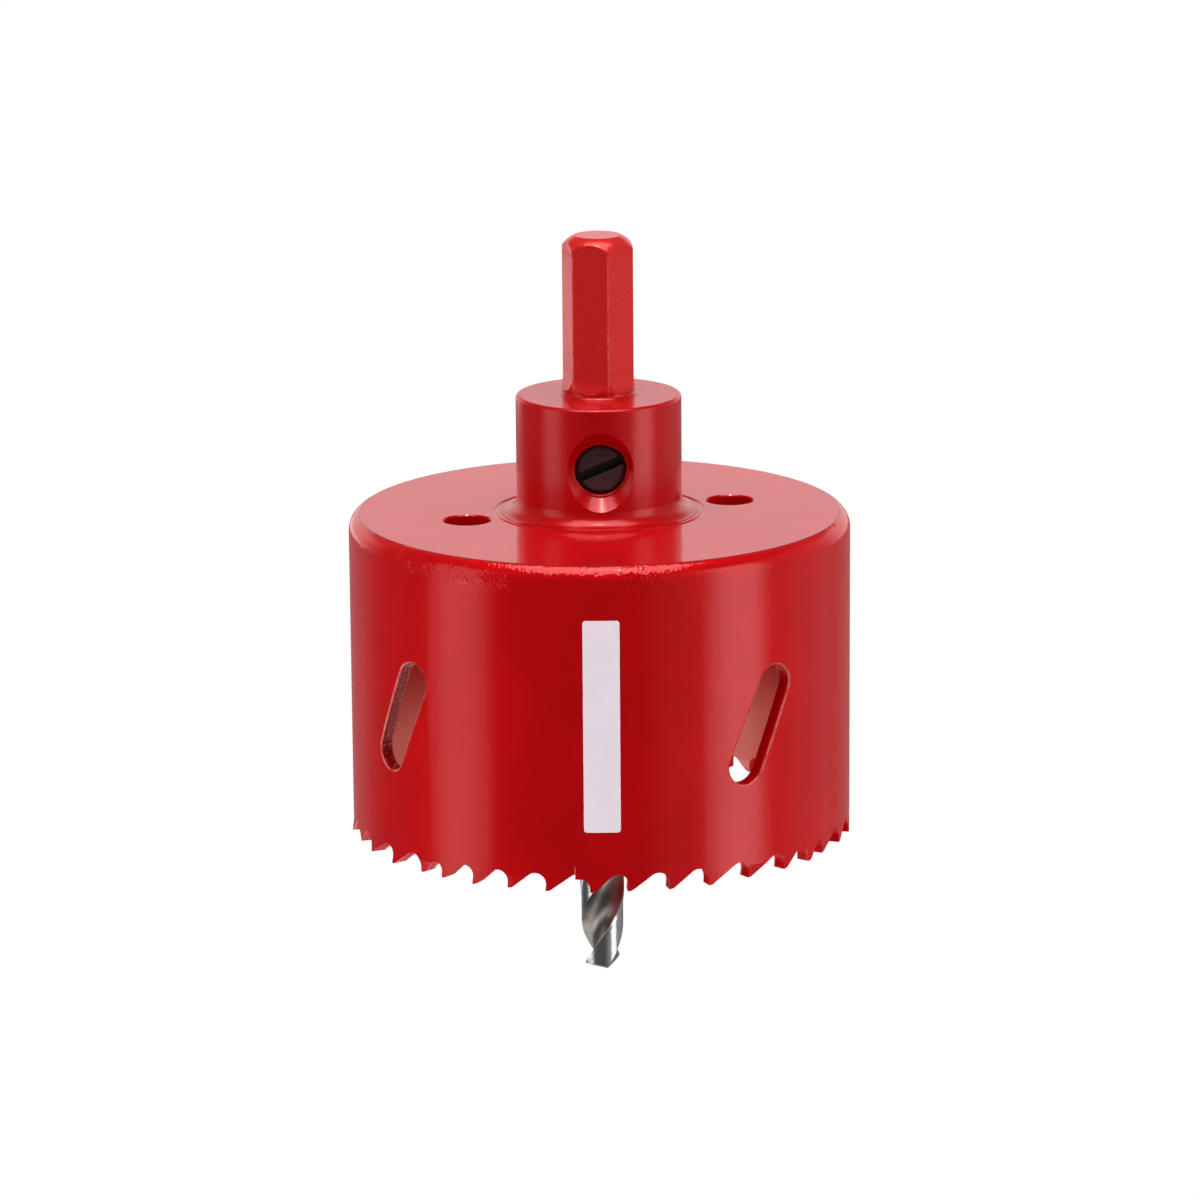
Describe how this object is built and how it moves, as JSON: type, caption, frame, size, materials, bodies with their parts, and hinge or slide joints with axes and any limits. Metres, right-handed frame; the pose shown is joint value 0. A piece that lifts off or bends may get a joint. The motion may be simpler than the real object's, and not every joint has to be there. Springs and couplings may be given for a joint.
{
  "type": "hole saw",
  "caption": "Cup-shaped hole saw: toothed ring with slanted slots, welded end plate, hub with set screw, hexagon shank and central twist drill.",
  "frame": {"origin": "On the tool's axis, at the outer face of the end plate, which is also the centre of the two drive pin holes.", "axes": "+Z runs along the tool's axis from the teeth to the shank, -Y points the way the set screw faces, and +X is to the right of the set screw."},
  "size_m": [0.0675, 0.0676, 0.1018],
  "materials": {
    "red_paint": "gloss red powder coat over steel",
    "black_oxide": "black oxide",
    "drill_steel": "bright ground high-speed steel"
  },
  "bodies": {
    "root": {"saw_band": "red_paint", "end_plate": "red_paint", "arbor": "red_paint", "set_screw": "black_oxide", "pilot_drill": "drill_steel"}
  },
  "joints": []
}
